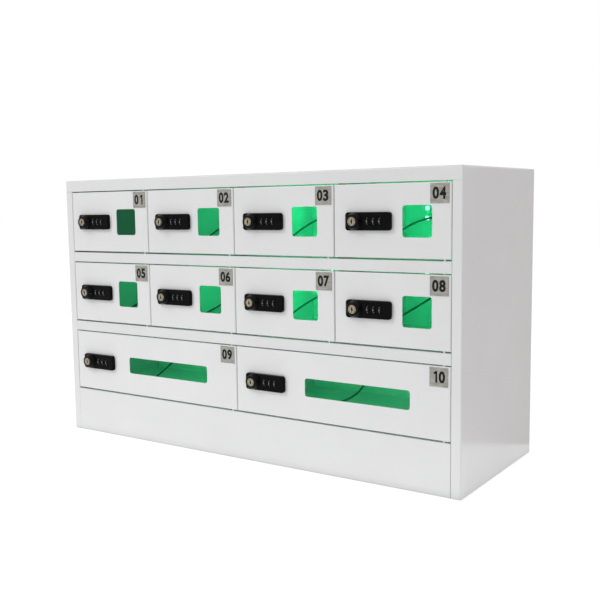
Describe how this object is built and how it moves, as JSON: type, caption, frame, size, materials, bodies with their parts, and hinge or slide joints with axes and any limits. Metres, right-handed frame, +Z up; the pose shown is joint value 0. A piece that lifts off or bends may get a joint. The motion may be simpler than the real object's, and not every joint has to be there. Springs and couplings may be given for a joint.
{
  "type": "cell phone locker box",
  "caption": "Steel cabinet that charges and locks up phones: inset doors with windows and combination cam locks, lit compartments, charging leads.",
  "frame": {"origin": "middle of the footprint, on the floor under the base sheet", "axes": "+X to the right as seen from the doors, along the length; +Y to the back, so that the doors face -Y; +Z up"},
  "size_m": [0.7, 0.2755, 0.42],
  "materials": {
    "cabinet_white": "satin powder coat",
    "door_white": "satin powder coat",
    "window_clear": "clear polished",
    "lock_black": "semi-gloss",
    "knob_black": "semi-gloss",
    "dial_black": "fine matte",
    "light_green": "lit diodes on a white board",
    "lead_black": "satin jacket",
    "fitting_black": "fine matte",
    "module_black": "fine matte",
    "plate_metal": "brushed, with black digits",
    "dial_ink": "printed digits"
  },
  "bodies": {
    "cabinet": {"outer_shell": "cabinet_white", "plinth_pan": "cabinet_white", "shelf_trays": "cabinet_white", "divider_walls": "cabinet_white", "inner_back_wall": "cabinet_white", "rear_cover": "cabinet_white", "power_module": "module_black", "led_strips": "light_green", "charging_leads": "lead_black", "lead_fittings": "fitting_black"},
    "door_01": {"door_01": "door_white", "window_01": "window_clear", "lock_body_01": "lock_black"},
    "knob_01": {"lock_knob_01": "knob_black"},
    "dials_01": {"lock_dials_01": "dial_black"},
    "door_02": {"door_02": "door_white", "window_02": "window_clear", "lock_body_02": "lock_black"},
    "knob_02": {"lock_knob_02": "knob_black"},
    "dials_02": {"lock_dials_02": "dial_black"},
    "door_03": {"door_03": "door_white", "window_03": "window_clear", "lock_body_03": "lock_black"},
    "knob_03": {"lock_knob_03": "knob_black"},
    "dials_03": {"lock_dials_03": "dial_black"},
    "door_04": {"door_04": "door_white", "window_04": "window_clear", "lock_body_04": "lock_black"},
    "knob_04": {"lock_knob_04": "knob_black"},
    "dials_04": {"lock_dials_04": "dial_black"},
    "door_05": {"door_05": "door_white", "window_05": "window_clear", "lock_body_05": "lock_black"},
    "knob_05": {"lock_knob_05": "knob_black"},
    "dials_05": {"lock_dials_05": "dial_black"},
    "door_06": {"door_06": "door_white", "window_06": "window_clear", "lock_body_06": "lock_black"},
    "knob_06": {"lock_knob_06": "knob_black"},
    "dials_06": {"lock_dials_06": "dial_black"},
    "door_07": {"door_07": "door_white", "window_07": "window_clear", "lock_body_07": "lock_black"},
    "knob_07": {"lock_knob_07": "knob_black"},
    "dials_07": {"lock_dials_07": "dial_black"},
    "door_08": {"door_08": "door_white", "window_08": "window_clear", "lock_body_08": "lock_black"},
    "knob_08": {"lock_knob_08": "knob_black"},
    "dials_08": {"lock_dials_08": "dial_black"},
    "door_09": {"door_09": "door_white", "window_09": "window_clear", "lock_body_09": "lock_black"},
    "knob_09": {"lock_knob_09": "knob_black"},
    "dials_09": {"lock_dials_09": "dial_black"},
    "door_10": {"door_10": "door_white", "window_10": "window_clear", "lock_body_10": "lock_black"},
    "knob_10": {"lock_knob_10": "knob_black"},
    "dials_10": {"lock_dials_10": "dial_black"}
  },
  "joints": [
    {"name": "door_01_hinge", "type": "hinge", "parent": "cabinet", "child": "door_01", "pos_m": [-0.1786, -0.126, 0.352], "axis": [0, 0, 1], "range_deg": [0, 110]},
    {"name": "knob_01_turn", "type": "hinge", "parent": "door_01", "child": "knob_01", "pos_m": [-0.3025, -0.13, 0.352], "axis": [0, 1, 0], "range_deg": [0, 90]},
    {"name": "dials_01_turn", "type": "hinge", "parent": "door_01", "child": "dials_01", "pos_m": [-0.2746, -0.129, 0.352], "axis": [1, 0, 0], "continuous": true},
    {"name": "door_02_hinge", "type": "hinge", "parent": "cabinet", "child": "door_02", "pos_m": [-0.0106, -0.126, 0.352], "axis": [0, 0, 1], "range_deg": [0, 110]},
    {"name": "knob_02_turn", "type": "hinge", "parent": "door_02", "child": "knob_02", "pos_m": [-0.1345, -0.13, 0.352], "axis": [0, 1, 0], "range_deg": [0, 90]},
    {"name": "dials_02_turn", "type": "hinge", "parent": "door_02", "child": "dials_02", "pos_m": [-0.1066, -0.129, 0.352], "axis": [1, 0, 0], "continuous": true},
    {"name": "door_03_hinge", "type": "hinge", "parent": "cabinet", "child": "door_03", "pos_m": [0.1574, -0.126, 0.352], "axis": [0, 0, 1], "range_deg": [0, 110]},
    {"name": "knob_03_turn", "type": "hinge", "parent": "door_03", "child": "knob_03", "pos_m": [0.0335, -0.13, 0.352], "axis": [0, 1, 0], "range_deg": [0, 90]},
    {"name": "dials_03_turn", "type": "hinge", "parent": "door_03", "child": "dials_03", "pos_m": [0.0614, -0.129, 0.352], "axis": [1, 0, 0], "continuous": true},
    {"name": "door_04_hinge", "type": "hinge", "parent": "cabinet", "child": "door_04", "pos_m": [0.3254, -0.126, 0.352], "axis": [0, 0, 1], "range_deg": [0, 110]},
    {"name": "knob_04_turn", "type": "hinge", "parent": "door_04", "child": "knob_04", "pos_m": [0.2015, -0.13, 0.352], "axis": [0, 1, 0], "range_deg": [0, 90]},
    {"name": "dials_04_turn", "type": "hinge", "parent": "door_04", "child": "dials_04", "pos_m": [0.2294, -0.129, 0.352], "axis": [1, 0, 0], "continuous": true},
    {"name": "door_05_hinge", "type": "hinge", "parent": "cabinet", "child": "door_05", "pos_m": [-0.1786, -0.126, 0.2365], "axis": [0, 0, 1], "range_deg": [0, 110]},
    {"name": "knob_05_turn", "type": "hinge", "parent": "door_05", "child": "knob_05", "pos_m": [-0.3025, -0.13, 0.2365], "axis": [0, 1, 0], "range_deg": [0, 90]},
    {"name": "dials_05_turn", "type": "hinge", "parent": "door_05", "child": "dials_05", "pos_m": [-0.2746, -0.129, 0.2365], "axis": [1, 0, 0], "continuous": true},
    {"name": "door_06_hinge", "type": "hinge", "parent": "cabinet", "child": "door_06", "pos_m": [-0.0106, -0.126, 0.2365], "axis": [0, 0, 1], "range_deg": [0, 110]},
    {"name": "knob_06_turn", "type": "hinge", "parent": "door_06", "child": "knob_06", "pos_m": [-0.1345, -0.13, 0.2365], "axis": [0, 1, 0], "range_deg": [0, 90]},
    {"name": "dials_06_turn", "type": "hinge", "parent": "door_06", "child": "dials_06", "pos_m": [-0.1066, -0.129, 0.2365], "axis": [1, 0, 0], "continuous": true},
    {"name": "door_07_hinge", "type": "hinge", "parent": "cabinet", "child": "door_07", "pos_m": [0.1574, -0.126, 0.2365], "axis": [0, 0, 1], "range_deg": [0, 110]},
    {"name": "knob_07_turn", "type": "hinge", "parent": "door_07", "child": "knob_07", "pos_m": [0.0335, -0.13, 0.2365], "axis": [0, 1, 0], "range_deg": [0, 90]},
    {"name": "dials_07_turn", "type": "hinge", "parent": "door_07", "child": "dials_07", "pos_m": [0.0614, -0.129, 0.2365], "axis": [1, 0, 0], "continuous": true},
    {"name": "door_08_hinge", "type": "hinge", "parent": "cabinet", "child": "door_08", "pos_m": [0.3254, -0.126, 0.2365], "axis": [0, 0, 1], "range_deg": [0, 110]},
    {"name": "knob_08_turn", "type": "hinge", "parent": "door_08", "child": "knob_08", "pos_m": [0.2015, -0.13, 0.2365], "axis": [0, 1, 0], "range_deg": [0, 90]},
    {"name": "dials_08_turn", "type": "hinge", "parent": "door_08", "child": "dials_08", "pos_m": [0.2294, -0.129, 0.2365], "axis": [1, 0, 0], "continuous": true},
    {"name": "door_09_hinge", "type": "hinge", "parent": "cabinet", "child": "door_09", "pos_m": [-0.0106, -0.126, 0.121], "axis": [0, 0, 1], "range_deg": [0, 110]},
    {"name": "knob_09_turn", "type": "hinge", "parent": "door_09", "child": "knob_09", "pos_m": [-0.3025, -0.13, 0.121], "axis": [0, 1, 0], "range_deg": [0, 90]},
    {"name": "dials_09_turn", "type": "hinge", "parent": "door_09", "child": "dials_09", "pos_m": [-0.2746, -0.129, 0.121], "axis": [1, 0, 0], "continuous": true},
    {"name": "door_10_hinge", "type": "hinge", "parent": "cabinet", "child": "door_10", "pos_m": [0.3254, -0.126, 0.121], "axis": [0, 0, 1], "range_deg": [0, 110]},
    {"name": "knob_10_turn", "type": "hinge", "parent": "door_10", "child": "knob_10", "pos_m": [0.0335, -0.13, 0.121], "axis": [0, 1, 0], "range_deg": [0, 90]},
    {"name": "dials_10_turn", "type": "hinge", "parent": "door_10", "child": "dials_10", "pos_m": [0.0614, -0.129, 0.121], "axis": [1, 0, 0], "continuous": true}
  ]
}
